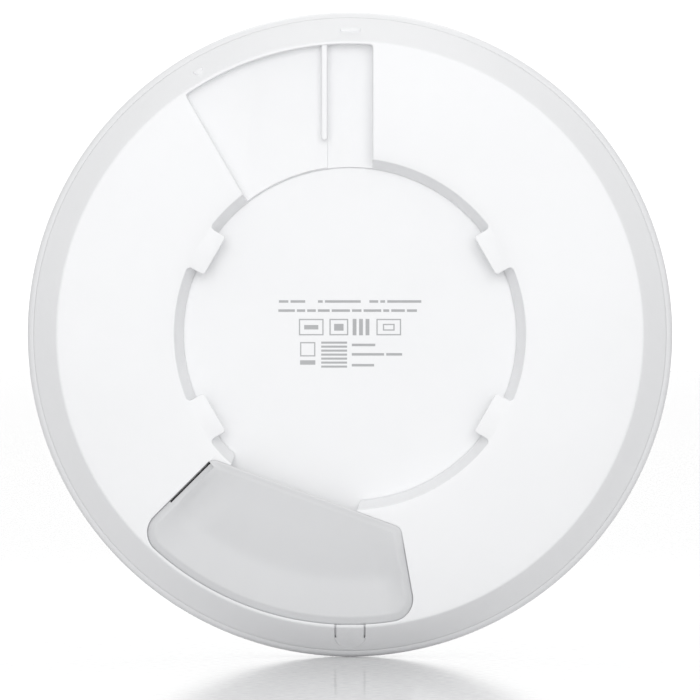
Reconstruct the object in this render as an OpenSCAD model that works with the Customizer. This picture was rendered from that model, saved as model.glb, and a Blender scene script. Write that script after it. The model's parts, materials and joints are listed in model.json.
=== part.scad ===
// Round ceiling access point with a snap-on front cover, a bayonet well in its back and a covered port bay.
//
// Every module is drawn in the back view: X to the right, Y up, and Z out of the back towards the ceiling,
// with the mounting plane at Z = 0 and the body below it. The last lines turn the whole object upright, so
// that its back faces -Y and its lock mark points to +Z.

/* [Body] */
// Outer diameter of the front cover
body_d = 220; // [218:0.5:224]
// Height from the mounting plane to the top of the dome
body_h = 48; // [47:0.5:52]
// Wall of the back shell
shell_wall = 2.2; // [2:0.1:2.3]
// Wall of the front cover
dome_wall = 2.4; // [2:0.1:2.6]
// Fullness of the dome: 2 is an ellipse, and more is squarer
dome_power = 2.4; // [2.2:0.1:2.8]
// Screw holes and round parts are drawn with this many sides
sides = 96; // [48:8:160]

/* [Back plate] */
// Radius of the flat landing round the bracket well
landing_r = 67; // [64:1:72]
// Radius where the domed plate meets the sloping flank
plate_r = 99.8; // [99.7:0.1:100.2]
// Fall of the plate from the mounting plane to that edge
plate_drop = 2.2; // [1.5:0.1:2.6]
// Fall of the flank for each millimetre outwards
flank_slope = 1.38; // [1.3:0.02:1.44]
// Radius of the seam between the back shell and the front cover
seam_r = 107.9; // [107.8:0.1:108]

/* [Bracket well] */
// Radius of the well at the mounting plane
well_r = 59.7; // [59:0.1:60.5]
// Radius of the well's floor
well_floor_r = 56.7; // [56:0.1:57]
// Depth of the well
well_depth = 8; // [7:0.5:8.5]
// Distance from the axis to the straight edge of each bayonet tab
tab_edge = 53.1; // [52:0.1:54]
// Width of each bayonet tab
tab_w = 15; // [12:0.5:16]
// Thickness of each bayonet tab
tab_t = 2.5; // [2:0.1:3]
// Twist that locks the bracket
twist = 30; // [26:1:32]

/* [Bracket arm] */
// Width of the channel that the bracket's arm locks into
arm_w = 15.5; // [14:0.5:16.5]
// Reach of the arm's recess from the axis
arm_r = 98.7; // [96:0.1:98.8]
// Depth of the recess that the arm sweeps through
sweep_depth = 6.6; // [5:0.1:6.8]
// Depth of the channel that it locks into
channel_depth = 7.4; // [7:0.1:7.6]

/* [Port bay] */
// Direction that the port bay faces, seen from the back
bay_angle = 250; // [248:1:252]
// Distance from the axis to the straight edge of the port cover
bay_chord = 56.1; // [55:0.1:57]
// Outer radius of the port cover
bay_r = 98.6; // [97:0.1:98.6]
// Depth of the bay
bay_depth = 17.3; // [17:0.1:17.4]
// Width of the cable way between the bay and the well
cable_way_w = 45.6; // [40:0.2:48]

/* [Boards] */
// Height of the main board's back face below the mounting plane
board_z = 19.5; // [19.5:0.1:19.8]
// Thickness of the main board
board_t = 1.6; // [1.2:0.1:1.8]
// Radius of the main board
board_r = 95; // [92:1:98]
// Height of the antenna plate's back face below the mounting plane
plate_z = 27; // [26.5:0.1:27.5]
// Mean radius of the light ring
ring_r = 32; // [30:0.5:34]

/* [Hidden] */
$fn = sides;
ANTENNAS = 4;
CAPACITORS = 3;

body_r = body_d / 2;
gap = 0.25;         // running gap round a part that lifts out
reach = 130;        // longer than any radius, for cutting shapes
over = 1;           // how far a cutting shape runs past a face
dome_z = 17;        // depth of the dome's widest circle
dome_step = 3;      // degrees between the points of the dome's curve
plate_steps = 10;   // segments of the plate's curve

// The flank and the tongue that enters the front cover.
flank_angle = atan(flank_slope);
flank_inset = shell_wall / sin(flank_angle);
tongue_r = 106.6;
tongue_wall = 2.2;
tongue_z = 17.4;

// The front cover's lip, and the groove that the back shell's lugs snap into.
lip_r = seam_r + gap;
lip_round = body_r - lip_r;
lip_z = plate_drop + (seam_r - plate_r) * flank_slope + 0.2;
lip_steps = 6;
socket_r = body_r - dome_wall;
groove_r = socket_r + 0.7;
groove_z = [16, 17.5];
lug_r = groove_r - 0.4;
lug_z = [16.2, 16.6];
lug_count = 8;
lug_arc = 7;
lug_turn = 20;

// The rib that the bracket's arm drops behind: its width and height, and where it starts.
rib = [1.9, 4.6];
rib_from = 66;

// The marks on the flank: where the arm locks, and where it goes in.
mark_h = 0.7;
lock_mark_size = [7, 1.5];
lock_mark_r = 103.4;
entry_mark_size = [3.2, 2.7];
entry_mark_r = 102.6;

// The port cover's outline: side lines by the angle of their outward normal and their offset from the axis.
chord_side = [bay_angle - 180, -bay_chord];
left_side = [135, 3.1];
right_side = [10, 5.35];
inner_corner_r = 3;
outer_corner_r = 7.5;
cover_t = 2.3;
cover_top = 0.1;    // depth of the cover's face below the mounting plane
seal_t = 0.8;
seat_depth = cover_top + cover_t + seal_t;
ledge_w = 2.5;      // width of the ledge that the port cover rests on
cover_leg = [8, 1.6, 8];
cover_leg_angles = [236, 256];
side_leg_from = -84;
leg_inset = ledge_w + 0.6;
finger_l = 19;      // the finger slot beside the port cover's left edge
finger_w = 0.65;
finger_from = 64.5;
bay_floor_t = 1.4;
bay_form = 20;      // depth of the form that trims the bay's walls
bay_inner_chord = well_floor_r + shell_wall + 2.6;
cable_way_from = 50; // the cable way's start, inside the well

// The cable exit: a slot with a round bottom through the flank.
exit_w = 10.5;
exit_bottom_r = 107.1;
exit_z = -flank_z(exit_bottom_r) - exit_w / 2;
exit_wall = 1.6;

// Screws and bosses.
screw_r = 1.5;
screw_head_r = 2.8;
screw_head_t = 1.9;
boss_r = 3.6;
boss_places = [[0, 80], [62, 80], [142, 80], [184, 80], [312, 80]];
spreader_places = [[45, 46], [135, 46], [225, 46], [315, 46]];
standoff_places = [[20, 73], [80, 73], [165, 73], [230, 73], [295, 73], [345, 73]];
led_screw_places = [[30, 32], [150, 32], [270, 32]];
standoff_r = 2.9;

// The jack, behind the bay's left-hand wall, with its depth along +X of its own frame.
jack = [21.3, 16, 13.5];
jack_wall = 0.4;
jack_turn = left_side[0];
jack_along = 78;
jack_clear = 0.3;
jack_window_l = 12;
jack_face = left_side[1] - ledge_w + jack_clear;
socket = [12.6, 11.9, 8.4];
socket_lift = 2.2;
latch_w = 6.4;
latch_h = 2.2;
contact_count = 8;
contact_pitch = 1.02;
contact_w = 0.45;

// The reset switch stands on the board, in the bay's floor.
reset_at = [12, -90.4];
reset_body = 6;
reset_h = 2.6;
reset_hole = reset_body + 0.8;
button_r = 1.9;
button_h = 2.4;
button_well = 1.2;

// Heat spreader, chips and pads, between the well's floor and the board.
spreader_z = well_depth + shell_wall + 0.3;
spreader_t = 2.6;
spreader_r = 51;
fin = [2, 18, 3.1];
fin_from = 24;
fin_pitch = 5;
chip_t = 0.9;
pad_t = 1;
processor = [[-14, 8], [19, 19]];
radio = [[17, -10], [16, 16]];
memory_at = [[-16, -16], [12, 9]];
radio_circuit = [[14, -14], [22, 20]];
power_circuit = [[-13, -40], [20, 20]];

// Antenna plate and light ring.
plate_t = 1;
antenna_plate_r = 82;
plate_hole_r = 14;
antenna_at = 60;
antenna_h = 8;
sheet_t = 0.6;
coax_r = 0.6;
coax_at = 40;
coax_hole_r = 2;
led_board_z = 35;
led_board_t = 1.2;
led_h = 0.9;
led_count = 6;
ring_w = 3;
ring_depth = 1.3;
leg_arc = 22;
leg_w = 1.8;

function unit(a) = [cos(a), sin(a)];
function at(place) = place[1] * unit(place[0]);
function meet(a, b) =
  let (n = unit(a[0]), m = unit(b[0]), d = n.x * m.y - n.y * m.x)
  [(a[1] * m.y - b[1] * n.y) / d, (n.x * b[1] - m.x * a[1]) / d];
function arc(centre, r, from, to, steps) =
  [for (i = [0:steps]) centre + r * unit(from + (to - from) * i / steps)];
function turned(p) = (atan2(p.y, p.x) + 360) % 360;

// Height of the back's surface at a radius.
function plate_height(r) =
  r <= landing_r ? 0 : -plate_drop * pow((r - landing_r) / (plate_r - landing_r), 2);
function flank_z(r) = -plate_drop - (r - plate_r) * flank_slope;

// A point of the dome's curve, for a dome that is thinner by the given inset.
function dome_point(t, inset) = [
  (body_r - inset) * pow(cos(t), 2 / dome_power),
  -dome_z - (body_h - dome_z - inset) * pow(sin(t), 2 / dome_power)
];
function dome_height(r) =
  -dome_z - (body_h - dome_z) * pow(1 - pow(r / body_r, dome_power), 1 / dome_power);

// Centre of the round corner between a side line, running outwards, and the outer arc.
function arc_corner(side, run, r) =
  (side[1] - r) * unit(side[0]) + sqrt(pow(bay_r - r, 2) - pow(side[1] - r, 2)) * unit(side[0] + run);

// The port cover's outline, grown by a margin, with its straight edge at the given chord.
function bay_outline(margin, chord = bay_chord) =
  let (
    straight = [chord_side[0], -chord],
    b = meet([right_side[0], right_side[1] - inner_corner_r], [straight[0], straight[1] - inner_corner_r]),
    a = meet([straight[0], straight[1] - inner_corner_r], [left_side[0], left_side[1] - inner_corner_r]),
    d = arc_corner(left_side, 90, outer_corner_r),
    c = arc_corner(right_side, -90, outer_corner_r)
  )
  concat(
    arc(b, inner_corner_r + margin, right_side[0], straight[0], 5),
    arc(a, inner_corner_r + margin, straight[0], left_side[0], 5),
    arc(d, outer_corner_r + margin, left_side[0], turned(d), 8),
    arc([0, 0], bay_r + margin, turned(d) + 1, turned(c) - 1, 24),
    arc(c, outer_corner_r + margin, turned(c), right_side[0] + 360, 8)
  );

module bay_2d(margin, chord = bay_chord) {
  polygon(bay_outline(margin, chord));
}

// The area that the bracket's arm sweeps, from its way in to its locked place.
module sweep_2d(margin) {
  half = arm_w / 2 + margin;
  start = unit(90 + twist);
  left = half * unit(180 + twist);
  intersection() {
    circle(r = arm_r + margin);
    polygon([[half, 0], [half, reach], reach * 1.2 * start + left, left]);
  }
}

module channel_2d() {
  intersection() {
    circle(r = arm_r);
    translate([-arm_w / 2, 0]) square([arm_w, reach]);
  }
}

// The slot of the cable exit, in its own cross-section, extruded outwards along -Y.
module exit_slot(margin, from, to) {
  half = exit_w / 2 + margin;
  translate([0, -from, -exit_z]) rotate([90, 0, 0]) {
    cylinder(r = half, h = to - from);
    translate([-half, 0, 0]) cube([2 * half, exit_z + over, to - from]);
  }
}

// Everything inside the back shell's outer surface, down to the end of its tongue.
module back_form(bottom = tongue_z) {
  rotate_extrude() polygon(concat(
    [[0, 0]],
    [for (i = [0:plate_steps])
      let (r = landing_r + (plate_r - landing_r) * i / plate_steps) [r, plate_height(r)]],
    [[seam_r, flank_z(seam_r)], [tongue_r, flank_z(seam_r)], [tongue_r, -bottom], [0, -bottom]]
  ));
}

// The hollow of the back shell, before the well, the bay and the bosses are put into it.
module back_hollow() {
  inner_r = tongue_r - tongue_wall;
  corner_r = plate_r - flank_inset + shell_wall / flank_slope;
  rotate_extrude() polygon(concat(
    [[0, -tongue_z - over], [inner_r, -tongue_z - over], [inner_r, flank_z(inner_r + flank_inset)]],
    [for (i = [plate_steps:-1:0])
      let (r = landing_r + (corner_r - landing_r) * i / plate_steps)
      [r, (i == plate_steps ? -plate_drop : plate_height(r)) - shell_wall]],
    [[0, -shell_wall]]
  ));
}

// A layer of the port bay's outline between two depths below the back's domed surface.
module bay_layer(margin, from, to) {
  difference() {
    intersection() {
      translate([0, 0, -from]) back_form();
      translate([0, 0, -to - plate_drop - over]) linear_extrude(to + plate_drop + 2 * over) bay_2d(margin);
    }
    translate([0, 0, -to]) back_form();
  }
}

module bosses() {
  for (place = boss_places)
    translate([at(place).x, at(place).y, -board_z]) cylinder(r = boss_r, h = board_z - shell_wall / 2);
}

module boss_holes() {
  for (place = boss_places)
    translate([at(place).x, at(place).y, -board_z - over]) cylinder(r = screw_r + 0.02, h = 11 + over);
}

module tab(angle) {
  rotate(angle) translate([tab_edge, -tab_w / 2, -tab_t])
    cube([well_r + 1.5 - tab_edge, tab_w, tab_t]);
}

// Stands a flat shape out from the flank, at an angle round the axis and a radius.
module on_flank(angle, r) {
  rotate(angle - 90) translate([0, r, flank_z(r)]) rotate([-flank_angle, 0, 0])
    translate([0, 0, -mark_h]) linear_extrude(2 * mark_h) children();
}

module lock_mark() {
  straight = lock_mark_size.x - lock_mark_size.y;
  square([straight, lock_mark_size.y], center = true);
  for (side = [-1, 1]) translate([side * straight / 2, 0]) circle(d = lock_mark_size.y);
}

module entry_mark() {
  half = entry_mark_size.x / 2;
  polygon([[-half, entry_mark_size.y / 2], [half, entry_mark_size.y / 2], [0, -entry_mark_size.y / 2]]);
}

module back_shell() {
  color("white") difference() {
    union() {
      difference() {
        union() {
          difference() {
            back_form();
            back_hollow();
          }
          intersection() {
            back_form(bay_form);
            union() {
              translate([0, 0, -well_depth - shell_wall])
                cylinder(r = well_r + shell_wall, h = well_depth + shell_wall);
              translate([0, 0, -channel_depth - shell_wall])
                linear_extrude(channel_depth + shell_wall) sweep_2d(shell_wall);
              translate([0, 0, -bay_depth - bay_floor_t])
                linear_extrude(bay_depth + bay_floor_t) bay_2d(shell_wall, bay_inner_chord - ledge_w);
              exit_slot(exit_wall, bay_r - 3, seam_r);
            }
          }
          bosses();
        }
        translate([0, 0, -well_depth])
          cylinder(r1 = well_floor_r, r2 = well_r, h = well_depth);
        cylinder(r = well_r, h = over);
        translate([0, 0, -sweep_depth]) linear_extrude(sweep_depth + over) sweep_2d(0);
        translate([0, 0, -channel_depth]) linear_extrude(channel_depth + over) channel_2d();
        bay_layer(gap, -over, seat_depth);
        translate([0, 0, -bay_depth])
          linear_extrude(bay_depth + over) bay_2d(-ledge_w, bay_inner_chord - ledge_w);
        rotate(bay_angle) translate([cable_way_from, -cable_way_w / 2, -well_depth])
          cube([bay_inner_chord - cable_way_from + over, cable_way_w, well_depth + over]);
        exit_slot(0, bay_r - ledge_w - over, body_r);
      }
      for (angle = [twist, 180 - twist, 180 + twist, 360 - twist]) tab(angle);
      translate([-arm_w / 2 - rib.x, rib_from, -channel_depth]) cube([rib.x, arm_r - rib_from + 0.5, rib.y]);
      on_flank(90, lock_mark_r) lock_mark();
      on_flank(90 + twist, entry_mark_r) entry_mark();
      for (i = [0:lug_count - 1]) rotate(i * 360 / lug_count + lug_turn - lug_arc / 2)
        rotate_extrude(angle = lug_arc)
          polygon([[tongue_r - over, -tongue_z], [tongue_r, -tongue_z], [lug_r, -lug_z[1]],
                   [lug_r, -lug_z[0]], [tongue_r - over, -lug_z[0]]]);
    }
    jack_window();
    translate([reset_at.x, reset_at.y, -bay_depth - bay_floor_t - over])
      translate([-reset_hole / 2, -reset_hole / 2, 0]) cube([reset_hole, reset_hole, bay_floor_t + 2 * over]);
    boss_holes();
  }
}

// The opening in the bay's wall for the jack.
module jack_window() {
  in_jack_frame() translate([-jack_clear, -jack.y / 2 - jack_clear, -board_z - over])
    cube([jack_window_l, jack.y + 2 * jack_clear, jack.z + jack_clear + over]);
}

module front_cover() {
  color("white") difference() {
    rotate_extrude() polygon(concat(
      [[lip_r, -lip_z - 0.4], [lip_r, -lip_z - 0.2]],
      arc([lip_r, -lip_z - lip_round], lip_round, 90, 0, lip_steps),
      [for (t = [0:dome_step:90]) dome_point(t, 0)],
      [for (t = [90:-dome_step:0]) dome_point(t, dome_wall)],
      [[socket_r, -groove_z[1] - 0.1], [groove_r, -groove_z[1]], [groove_r, -groove_z[0]],
       [socket_r, -groove_z[0] + 0.1], [socket_r, -lip_z - 0.4]]
    ));
    rotate_extrude() polygon(ring_section(0));
    for (i = [0:led_count - 1]) rotate(i * 360 / led_count - leg_arc / 2 - 0.5)
      rotate_extrude(angle = leg_arc + 1) translate([ring_r - leg_w / 2 - 0.1, -body_h])
        square([leg_w + 0.2, 5]);
  }
}

// The light ring's groove in the dome, or the ring itself where the margin is negative.
function ring_section(margin) =
  let (
    inner = ring_r - ring_w / 2 - margin,
    outer = ring_r + ring_w / 2 + margin,
    floor = dome_height(ring_r) + ring_depth,
    rise = margin < 0 ? 0 : over
  )
  [[inner, floor + margin], [outer, floor + margin], [outer, dome_height(outer) - rise],
   [ring_r, dome_height(ring_r) - rise], [inner, dome_height(inner) - rise]];

module light_guide_ring() {
  leg_foot = -led_board_z - led_board_t - led_h - 0.2;
  ring_floor = dome_height(ring_r) + ring_depth;
  color("aliceblue") {
    rotate_extrude() polygon(ring_section(-0.05));
    for (i = [0:led_count - 1]) rotate(i * 360 / led_count - leg_arc / 2)
      rotate_extrude(angle = leg_arc) translate([ring_r - leg_w / 2, ring_floor - 0.5])
        square([leg_w, leg_foot - ring_floor + 0.5]);
  }
}

module rim_gasket() {
  color("dimgray") rotate_extrude() translate([tongue_r + 0.02, -lip_z - 1.9])
    square([socket_r - tongue_r - 0.04, 1.3]);
}

// The grey lid of the port bay, with a finger slot beside its left edge and three guide legs.
module port_cover() {
  color("silver") difference() {
    union() {
      bay_layer(0, cover_top, cover_top + cover_t);
      for (angle = cover_leg_angles) rotate(angle)
        translate([bay_r - leg_inset - cover_leg.y, -cover_leg.x / 2, -cover_leg.z])
          cube([cover_leg.y, cover_leg.x, cover_leg.z - 3]);
      rotate(right_side[0]) translate([right_side[1] - leg_inset - cover_leg.y, side_leg_from, -cover_leg.z])
        cube([cover_leg.y, cover_leg.x, cover_leg.z - 2]);
    }
    rotate(left_side[0]) translate([left_side[1] - finger_w, finger_from, -seat_depth - over])
      cube([finger_w + over, finger_l, seat_depth + 2 * over]);
  }
}

// Soft seal on the bay's ledge. It stops at the cable way, where the lid spans an opening.
module port_seal() {
  color("dimgray") difference() {
    bay_layer(-0.1, seat_depth - seal_t, seat_depth);
    translate([0, 0, -seat_depth - plate_drop - over]) linear_extrude(seat_depth + plate_drop + over) {
      bay_2d(-ledge_w + 0.3);
      circle(r = well_r + 4);
      translate([-exit_w / 2 - 0.6, -bay_r - over]) square([exit_w + 1.2, 6]);
    }
  }
}

// The plug that closes the cable exit, flush with the flank. It is hollow towards the bay.
module cable_exit_plug() {
  front = bay_r + gap + 0.15;
  wall = 1.4;
  color("white") difference() {
    intersection() {
      back_form();
      exit_slot(-gap, front, seam_r);
    }
    intersection() {
      translate([0, 0, -2.4]) back_form();
      exit_slot(-gap - wall, front - over, seam_r - wall);
    }
  }
}

module board_holes() {
  for (place = concat(boss_places, spreader_places))
    translate([at(place).x, at(place).y, -board_z - board_t - over])
      cylinder(r = screw_r + 0.1, h = board_t + 2 * over);
}

module main_board() {
  color("darkgreen") difference() {
    translate([0, 0, -board_z - board_t]) intersection() {
      cylinder(r = board_r, h = board_t);
      translate([-board_r, -board_r, 0]) cube([2 * board_r, 2 * board_r - 12, board_t]);
    }
    board_holes();
  }
}

// A block on the board's back side, given by its centre, its size and its height above the board.
module on_board(place, height, lift = 0) {
  translate([place[0].x - place[1].x / 2, place[0].y - place[1].y / 2, -board_z + lift])
    cube([place[1].x, place[1].y, height]);
}

module pedestal(place) {
  lift = chip_t + pad_t;
  on_board(place, board_z - spreader_z - spreader_t + 0.1 - lift, lift);
}

module heat_spreader() {
  color("lightslategray") difference() {
    union() {
      translate([0, 0, -spreader_z - spreader_t]) cylinder(r = spreader_r, h = spreader_t);
      pedestal(processor);
      pedestal(radio);
      for (place = spreader_places) translate([at(place).x, at(place).y, -board_z])
        cylinder(r = boss_r, h = board_z - spreader_z - spreader_t + 0.1);
      for (i = [-3:3])
        translate([i * fin_pitch - fin.x / 2, fin_from, -spreader_z - spreader_t - fin.z + 0.1]) cube(fin);
    }
    for (place = spreader_places) translate([at(place).x, at(place).y, -board_z])
      cylinder(r = screw_r + 0.02, h = 6);
  }
}

module chip(place) { color("#303236") on_board(place, chip_t); }

module thermal_pad(place) { color("lightpink") on_board([place[0], place[1] - [2, 2]], pad_t, chip_t); }

// A pressed tin lid over a circuit on the board's front side.
module shield_can(place, height) {
  wall = 0.3;
  color("gainsboro") translate([place[0].x, place[0].y, -board_z - board_t - height]) difference() {
    translate([-place[1].x / 2, -place[1].y / 2, 0]) cube([place[1].x, place[1].y, height]);
    translate([-place[1].x / 2 + wall, -place[1].y / 2 + wall, wall])
      cube([place[1].x - 2 * wall, place[1].y - 2 * wall, height]);
  }
}

// Puts its children in the jack's frame: the mouth's centre at the origin, the depth along +X.
module in_jack_frame() {
  origin = jack_face * unit(jack_turn) + jack_along * unit(jack_turn + 90);
  translate([origin.x, origin.y, 0]) rotate(jack_turn) children();
}

module jack_shield() {
  color("silver") in_jack_frame() translate([0, -jack.y / 2, -board_z]) difference() {
    cube(jack);
    translate([-over, jack_wall, -over])
      cube([jack.x - jack_wall + over, jack.y - 2 * jack_wall, jack.z - jack_wall + over]);
  }
}

module jack_insert() {
  width = jack.y - 2 * jack_wall - 0.1;
  color("#262728") in_jack_frame() translate([0.3, 0, -board_z]) difference() {
    translate([0, -width / 2, 0]) cube([jack.x - jack_wall - 0.4, width, jack.z - jack_wall - 0.05]);
    translate([-over, -socket.y / 2, socket_lift]) cube([socket.x + over, socket.y, socket.z]);
    translate([-over, -latch_w / 2, socket_lift + socket.z - over])
      cube([socket.x + over, latch_w, latch_h + over]);
  }
}

module jack_contacts() {
  color("gold") in_jack_frame() for (i = [0:contact_count - 1])
    translate([socket.x - 6, (i - (contact_count - 1) / 2) * contact_pitch - contact_w / 2,
               -board_z + socket_lift + 0.4])
      rotate([0, 16, 0]) translate([0, 0, 1.7]) cube([6, contact_w, 0.35]);
}

module lan_transformer() {
  size = [12, 15, 6];
  color("#28292b") in_jack_frame() translate([jack.x + 3, -size.y / 2, -board_z]) cube(size);
}

module power_inductor() {
  size = [12, 12, 5.5];
  color("#4a4c50") translate([52, -46, -board_z]) difference() {
    translate([-size.x / 2, -size.y / 2, 0]) cube(size);
    translate([0, 0, size.z - 0.5]) cylinder(r = size.x / 3, h = over);
  }
}

module capacitor(i) {
  row = [66, -34] + i * [1.5, 10.5];
  color("#3a4a66") translate([row.x, row.y, -board_z]) cylinder(r = 4, h = 10.5 - 0.8 * i);
}

module reset_switch() {
  color("#2c2d30") translate([reset_at.x - reset_body / 2, reset_at.y - reset_body / 2, -board_z])
    difference() {
      cube([reset_body, reset_body, reset_h]);
      translate([reset_body / 2, reset_body / 2, reset_h - button_well])
        cylinder(r = button_r + 0.08, h = button_well + over);
    }
}

module reset_button() {
  color("whitesmoke") translate([reset_at.x, reset_at.y, -board_z + reset_h - button_well / 2])
    cylinder(r = button_r, h = button_h);
}

module antenna_plate() {
  color("gainsboro") difference() {
    translate([0, 0, -plate_z - plate_t]) cylinder(r = antenna_plate_r, h = plate_t);
    translate([0, 0, -plate_z - plate_t - over]) {
      cylinder(r = plate_hole_r, h = plate_t + 2 * over);
      for (place = standoff_places) translate(at(place)) cylinder(r = screw_r + 0.1, h = plate_t + 2 * over);
      for (i = [0:ANTENNAS - 1]) rotate(45 + i * 360 / ANTENNAS) translate([coax_at, 0])
        cylinder(r = coax_hole_r, h = plate_t + 2 * over);
      for (place = led_screw_places) translate(at(place)) cylinder(r = 1.1, h = plate_t + 2 * over);
      translate([-8, 16, 0]) cube([16, 3, plate_t + 2 * over]);
    }
  }
}

// A stamped antenna: a foot on the plate, an upright, and a slotted top.
module antenna(i) {
  size = [22, 14];
  z = -plate_z - plate_t;
  color("#c9a25f") rotate(45 + i * 360 / ANTENNAS) translate([antenna_at, 0, z]) {
    translate([-9, -3, -sheet_t]) cube([7, 6, sheet_t]);
    translate([-2 - sheet_t, -3, -antenna_h]) cube([sheet_t, 6, antenna_h]);
    translate([-2 - sheet_t, 0, -antenna_h]) difference() {
      translate([0, -size.x / 2, 0]) cube([size.y, size.x, sheet_t]);
      translate([4, -1, -over]) cube([size.y, 2, sheet_t + 2 * over]);
      translate([8, -size.x / 2 + 3, -over]) cube([1.2, size.x / 2 - 6, sheet_t + 2 * over]);
    }
  }
}

// A coaxial lead: a snap connector on the board, then up through the plate and out to its antenna's foot.
module coax_lead(i) {
  bend = 2.5;
  top = -plate_z - plate_t - sheet_t - coax_r - 0.05;
  foot = -board_z - board_t - 1.6;
  run = antenna_at - 9 - coax_at - bend + 4;
  color("#1f2226") rotate(45 + i * 360 / ANTENNAS) translate([coax_at, 0, 0]) {
    translate([0, 0, foot]) cylinder(r = 1.3, h = 1.6);
    translate([0, 0, top + bend]) cylinder(r = coax_r, h = foot - top - bend + 0.2);
    translate([bend, 0, top + bend]) rotate([90, 0, 0]) rotate(180) rotate_extrude(angle = 90)
      translate([bend, 0]) circle(r = coax_r);
    translate([bend, 0, top]) rotate([0, 90, 0]) cylinder(r = coax_r, h = run);
  }
}

module led_holder() {
  foot_z = -plate_z - plate_t;
  height = led_board_z - plate_z - plate_t;
  color("#e8e8e8") difference() {
    translate([0, 0, foot_z - height]) union() {
      difference() {
        cylinder(r = ring_r + 6.5, h = height);
        translate([0, 0, -over]) cylinder(r = ring_r + 5, h = height + 2 * over);
      }
      for (place = led_screw_places) translate(at(place)) {
        cylinder(r = 3, h = height);
        rotate(place[0]) translate([0, -1, 0]) cube([6, 2, height]);
      }
    }
    for (place = led_screw_places) translate([at(place).x, at(place).y, foot_z - height - over])
      cylinder(r = 1.02, h = height + 2 * over);
    for (i = [0:ANTENNAS - 1]) rotate(45 + i * 360 / ANTENNAS)
      translate([ring_r, -2.5, foot_z - 3]) cube([10, 5, 3 + over]);
  }
}

module led_board() {
  color("#20503a") difference() {
    translate([0, 0, -led_board_z - led_board_t]) cylinder(r = ring_r + 7, h = led_board_t);
    translate([0, 0, -led_board_z - led_board_t - over]) {
      cylinder(r = ring_r - 8, h = led_board_t + 2 * over);
      for (place = led_screw_places) translate(at(place)) cylinder(r = 1.1, h = led_board_t + 2 * over);
    }
  }
}

module status_leds() {
  color("lightyellow") for (i = [0:led_count - 1]) rotate(i * 360 / led_count)
    translate([ring_r - 0.8, -1.6, -led_board_z - led_board_t - led_h]) cube([1.6, 3.2, led_h - 0.01]);
}

// The flat cable between the LED board and the main board, through the slot in the antenna plate.
module led_ribbon() {
  width = 10;
  strip = 0.4;
  top = -led_board_z + 1;
  foot = -board_z - board_t;
  from = 17.3;
  plug = [width, 3.4, 1.8];
  end = [width, 3, 1.1];
  inner_edge = ring_r - 8;
  color("#e9e4d4") translate([-width / 2, 0, 0]) {
    translate([0, from, foot - plug.z]) cube(plug);
    translate([0, from, top]) cube([width, strip, foot - plug.z - top]);
    translate([0, from, top]) cube([width, inner_edge + 2.4 - from, strip]);
    translate([0, inner_edge + 1, -led_board_z]) cube(end);
  }
}

// A pan-head screw with a cross recess. Its head's underside is at the origin and its shank runs along +Z.
module screw(length, r = screw_r, head_r = screw_head_r, head_t = screw_head_t) {
  cylinder(r = r, h = length);
  translate([0, 0, -head_t]) difference() {
    cylinder(r = head_r, h = head_t);
    for (turn = [0, 90]) rotate(turn) translate([-head_r * 0.55, -0.35, -over])
      cube([head_r * 1.1, 0.7, over + head_t * 0.5]);
  }
}

module screws_at(places, z, length, r = screw_r, head_r = screw_head_r) {
  color("gray") for (place = places) translate([at(place).x, at(place).y, z]) screw(length, r, head_r);
}

module board_screws() { screws_at(boss_places, -board_z - board_t, 10); }

module spreader_screws() { screws_at(spreader_places, -board_z - board_t, 6.5); }

module plate_screws() { screws_at(standoff_places, -plate_z - plate_t, 5); }

module led_screws() { screws_at(led_screw_places, -led_board_z - led_board_t, 7, 1, 1.7); }

module standoffs() {
  height = plate_z - board_z - board_t;
  color("goldenrod") for (place = standoff_places) translate([at(place).x, at(place).y, -plate_z])
    difference() {
      cylinder(r = standoff_r, h = height, $fn = 6);
      translate([0, 0, -over]) cylinder(r = screw_r + 0.02, h = 4.2 + over);
    }
}

// Turns the back view upright: out of the back is -Y, and up is +Z.
module upright() {
  rotate([90, 0, 0]) children();
}

upright() {
  back_shell();
  front_cover();
  rim_gasket();
  light_guide_ring();
  port_cover();
  port_seal();
  cable_exit_plug();
  main_board();
  heat_spreader();
  chip(processor);  // processor_chip
  chip(radio);  // radio_chip
  chip(memory_at);  // memory_chip
  thermal_pad(processor);  // thermal_pad_processor
  thermal_pad(radio);  // thermal_pad_radio
  shield_can(radio_circuit, 3.2);  // shield_can_radio
  shield_can(power_circuit, 3.2);  // shield_can_power
  jack_shield();
  jack_insert();
  jack_contacts();
  lan_transformer();
  power_inductor();
  for (i = [0:CAPACITORS - 1]) capacitor(i);
  reset_switch();
  reset_button();
  antenna_plate();
  for (i = [0:ANTENNAS - 1]) antenna(i);
  for (i = [0:ANTENNAS - 1]) coax_lead(i);
  led_holder();
  led_board();
  status_leds();
  led_ribbon();
  board_screws();
  spreader_screws();
  standoffs();
  plate_screws();
  led_screws();
}
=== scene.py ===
"""Looks of a round ceiling access point, seen from the back and standing on its rim.

Shapes are worked out in the back view, in millimetres: X to the right, Y up, and Z out of the back, with
the mounting plane at Z = 0. place() turns a point of that view into the row's frame, in metres.
"""

import json
from math import asin, atan, atan2, cos, degrees, hypot, pi, radians, sin, sqrt

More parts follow.
